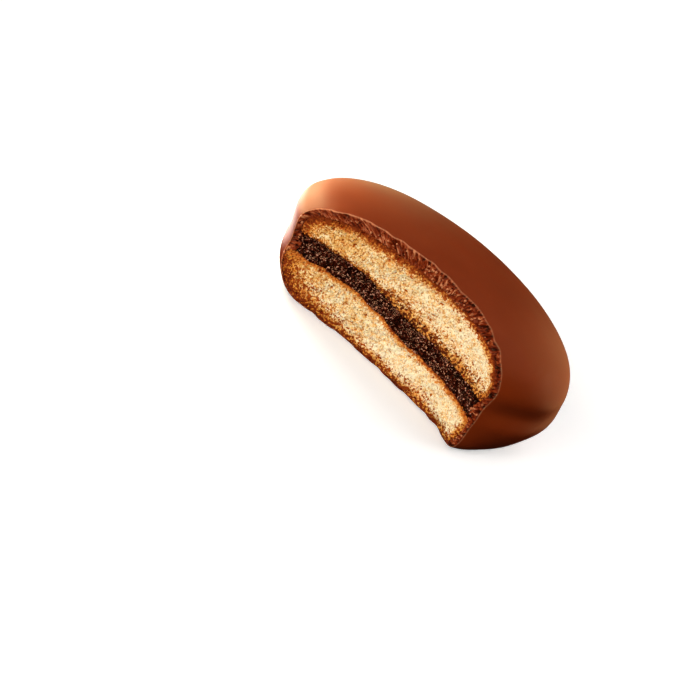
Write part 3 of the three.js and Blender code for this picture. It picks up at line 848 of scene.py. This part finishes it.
def lowest_of_faces(mesh, values):
    """The smallest of a point value over each face."""
    return np.array([min(values[vertex] for vertex in face.vertices) for face in mesh.polygons])


def finish_shading(mesh, face_flags):
    """Smooth shading, with a sharp edge where the broken face begins."""
    mesh.shade_smooth()
    totals = np.array([face.loop_total for face in mesh.polygons])
    loop_edges = np.empty(len(mesh.loops), dtype=np.int64)
    mesh.loops.foreach_get("edge_index", loop_edges)
    loop_flags = np.repeat(face_flags, totals)
    lowest = np.ones(len(mesh.edges))
    highest = np.zeros(len(mesh.edges))
    np.minimum.at(lowest, loop_edges, loop_flags)
    np.maximum.at(highest, loop_edges, loop_flags)
    sharp = mesh.attributes.new("sharp_edge", "BOOLEAN", "EDGE")
    sharp.data.foreach_set("value", lowest < highest)


def stand_for(name, mesh, node):
    """Puts a finished mesh in the scene in place of a solid."""
    piece = bpy.data.objects.new(name, mesh)
    scene.collection.objects.link(piece)
    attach(piece, "root")
    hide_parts(node)


def make_coating():
    """The coat: a smooth dome outside, a plain room inside, and a ridged edge where it snapped."""
    outer = turned("coat_outside", coated_section(0, 0, 0, DOME_POWERS, COAT_ROWS), COAT_COLUMNS,
                   (settle, ripple_skin), coat_skin_look)
    inner_section = coated_section(COAT_SIDE, COAT_TOP, COAT_BASE, INNER_DOME_POWERS, ROOM_ROWS, COAT_BETWEEN)
    room = turned("room", inner_section, ROOM_COLUMNS, (thin_coat, settle), coat_skin_look)
    shell = cut_away("coating_shell", outer, room, coat_skin_look)
    left = break_off("coating_left", shell, COAT_RIDGES, COAT_SEED, COAT_SPAN, coat_skin_look)
    points = points_of(left)
    x, z = points[:, 0], points[:, 2]
    store(left, "skin", distance_to(outer, points))
    store(left, "along", outline_lengths(x, z))
    store(left, "loose", read(left, "broken") * loose_places(x, z, read(left, "skin")))
    ridged = grow("coating_ridged", left, snap_relief, **COAT_SNAP, Material=coat_skin_look)
    coat = grow("coating_made", ridged, lumping, **COAT_LUMPS, Material=coat_skin_look)
    coat.materials.clear()
    for look in (coat_skin_look, coat_break_look):
        coat.materials.append(look)
    flags = lowest_of_faces(coat, read(coat, "broken"))
    coat.polygons.foreach_set("material_index", (flags > 0.5).astype(np.int32))
    finish_shading(coat, flags)
    stand_for("chocolate_coat", coat, "coating")


def make_biscuit(name, section, seed, span, cream_up, look, node, burn, soak):
    """One biscuit half: a settled body with a crumbled broken face."""
    shapers = (thin_coat, settle, crinkle_cream) if cream_up else (settle, crinkle_cream)
    body = turned(name + "_whole", section, LAYER_COLUMNS, shapers, look)
    normals = np.array([face.normal[2] for face in body.polygons])
    facing = normals > FLAT_FACE if cream_up else normals < -FLAT_FACE
    left = break_off(name + "_left", body, CRUMB_CRAGS, seed, span, look)
    points = points_of(left)
    store(left, "crust", distance_to(body, points, ~facing))
    store(left, "cream", distance_to(body, points, facing))
    store(left, "burn", browned_depth(points[:, 0], *burn))
    store(left, "soak", soaked_depth(points[:, 0], *soak))
    store(left, "loose", read(left, "broken"))
    torn = grow(name + "_torn", left, crumb_relief, **CRUMB_TEAR, Seed=float(seed), Material=look)
    made = grow(name, torn, lumping, **CRUMB_LUMPS, Seed=seed, Material=look)
    finish_shading(made, lowest_of_faces(made, read(made, "broken")))
    stand_for(name, made, node)


def make_upper_biscuit():
    """The domed upper half."""
    wide = UPPER_BULGE[0] - layer_side
    bottom = filling_top - REACH_IN
    section = half_section(
        (wide - LAYER_EDGE, bottom), (wide, bottom + LAYER_EDGE / 2), (wide, UPPER_BULGE[1]),
        (0.0, HEIGHT - COAT_TOP + REACH_IN), INNER_DOME_POWERS, UPPER_ROWS)
    make_biscuit("upper_crumb", section, UPPER_SEED, UPPER_SPAN, False, upper_crumb_look, "upper_biscuit",
                 UPPER_BURN, UPPER_SOAK)


def make_lower_biscuit():
    """The flat lower half."""
    wide = LOWER_BULGE[0] - layer_side
    top = filling_bottom + REACH_IN
    rim = (wide, top - LAYER_EDGE / 2)
    section = half_section(
        (BASE_RADIUS - layer_side, COAT_BASE - REACH_IN), rim, rim, (wide - LAYER_EDGE, top), ROUND_POWERS,
        LOWER_ROWS)
    make_biscuit("lower_crumb", section, LOWER_SEED, LOWER_SPAN, True, lower_crumb_look, "lower_biscuit",
                 LOWER_BURN, LOWER_SOAK)


def make_filling():
    """The cream between the halves, torn with a coarse moist grain."""
    rim = (FILLING_RADIUS + CREAM_REACH, FILLING_HEIGHT)
    section = half_section((FILLING_RADIUS, filling_bottom), rim, rim, (FILLING_RADIUS, filling_top),
                           ROUND_POWERS, FILLING_ROWS)
    body = turned("filling_whole", section, LAYER_COLUMNS, (settle, crinkle_cream), cream_look)
    left = break_off("filling_left", body, CREAM_GRAINS, FILLING_SEED, FILLING_SPAN, cream_look)
    store(left, "loose", read(left, "broken"))
    torn = grow("cream_torn", left, crumb_relief, **CREAM_TEAR, Material=cream_look)
    made = grow("cream", torn, lumping, **CREAM_LUMPS, Material=cream_look)
    finish_shading(made, lowest_of_faces(made, read(made, "broken")))
    stand_for("cocoa_filling", made, "filling")


# Stage

def make_camera():
    """A camera at the photograph's angle, aimed so that the biscuit shows where it does there."""
    turn, lift, roll = (math.radians(angle) for angle in (VIEW_AZIMUTH, VIEW_ELEVATION, VIEW_ROLL))
    back = Vector((math.sin(turn) * math.cos(lift), -math.cos(turn) * math.cos(lift), math.sin(lift)))
    level = Vector((math.cos(turn), math.sin(turn), 0.0))
    upright = back.cross(level)
    right = level * math.cos(roll) + upright * math.sin(roll)
    up = upright * math.cos(roll) - level * math.sin(roll)
    half = PICTURE_SIZE / 2
    aside, above = (half - CENTRE_PIXEL[0]) / FOCAL_PIXELS, (CENTRE_PIXEL[1] - half) / FOCAL_PIXELS
    behind = (back - right * aside - up * above).normalized()
    across = up.cross(behind).normalized()
    data = bpy.data.cameras.new("camera")
    data.sensor_width = SENSOR
    data.lens = SENSOR * FOCAL_PIXELS / PICTURE_SIZE
    data.clip_start = CLIP_START
    camera = bpy.data.objects.new("camera", data)
    scene.collection.objects.link(camera)
    facing = Matrix((across, behind.cross(across), behind)).transposed()
    camera.matrix_world = Matrix.Translation((VIEW_CENTRE + back * VIEW_DISTANCE) * MM) @ facing.to_4x4()
    scene.camera = camera


def new_light(name, kind, strength, colour, use, turn):
    """A light that gives shading, gloss or both, and shines along its own -Z."""
    data = bpy.data.lights.new(name, kind)
    data.energy = strength
    data.color = linear(colour)[:3]
    light = bpy.data.objects.new(name, data)
    scene.collection.objects.link(light)
    light.rotation_mode = "QUATERNION"
    light.rotation_quaternion = turn
    light.visible_diffuse = use != "gloss"
    light.visible_glossy = use != "shading"
    return light


def make_lights():
    """Soft boxes that face a place on the biscuit, and distant soft lights that come from a direction."""
    for name, place, aim, width, power, colour, use in SOFT_BOXES:
        way = Vector(aim) - Vector(place)
        light = new_light(name, "AREA", power, colour, use, way.to_track_quat("-Z", "Y"))
        light.data.shape = "DISK"
        light.data.size = width
        light.location = place
        light.visible_camera = False
    for name, way, spread, strength, colour, use in DISTANT_LIGHTS:
        light = new_light(name, "SUN", strength, colour, use, Vector(way).to_track_quat("Z", "Y"))
        light.data.angle = math.radians(spread)


def floor_sweep():
    """A wide sheet of paper, flat in the middle and rising gently far away."""
    turn = np.arange(0, 2 * math.pi, 2 * math.pi / FLOOR_SIDES)
    rings = [np.stack([radius * np.cos(turn), radius * np.sin(turn), np.full(FLOOR_SIDES, height)], axis=1)
             for radius, height in FLOOR_SWEEP]
    faces = [tuple(range(FLOOR_SIDES))]
    for inner in range(0, FLOOR_SIDES * (len(rings) - 1), FLOOR_SIDES):
        outer = inner + FLOOR_SIDES
        for side in range(FLOOR_SIDES):
            after = (side + 1) % FLOOR_SIDES
            faces.append((inner + side, outer + side, outer + after, inner + after))
    mesh = mesh_of("floor", np.concatenate(rings), faces)
    mesh.shade_smooth()
    return mesh


def make_stage():
    """Pale floor, soft sky and studio lights."""
    floor = bpy.data.objects.new("floor", floor_sweep())
    floor.data.materials.append(studio_floor())
    scene.collection.objects.link(floor)
    floor.visible_diffuse = False
    floor.visible_glossy = False
    world = bpy.data.worlds.new("soft_sky")
    scene.world = world
    world.use_nodes = True
    tree = world.node_tree
    tree.nodes.clear()
    way = add(tree, "ShaderNodeTexCoord", out="Generated")
    height = add(tree, "ShaderNodeSeparateXYZ", {"Vector": way}, out="Z")
    level = add(tree, "ShaderNodeMapRange", {
        "Value": height, "From Min": SKY_FROM, "From Max": SKY_TO, "To Min": SKY_DARK, "To Max": SKY_BRIGHT},
        interpolation_type="SMOOTHSTEP")
    sky = add(tree, "ShaderNodeBackground", {"Color": linear("#ffffff"), "Strength": level})
    add(tree, "ShaderNodeOutputWorld", {"Surface": sky})
    make_lights()
    scene.view_settings.view_transform = "Standard"


coat_skin_look = coat_skin()
coat_break_look = coat_break()
upper_crumb_look = baked_crumb("baked_crumb_upper", 11, UPPER_STAIN, stain_mixing=1.6, crust_mixing=0.8)
lower_crumb_look = baked_crumb("baked_crumb_lower", 3, LOWER_STAIN, stain_mixing=0.6, crust_mixing=2.6)
cream_look = cocoa_cream()

make_camera()
make_stage()
make_coating()
make_upper_biscuit()
make_filling()
make_lower_biscuit()
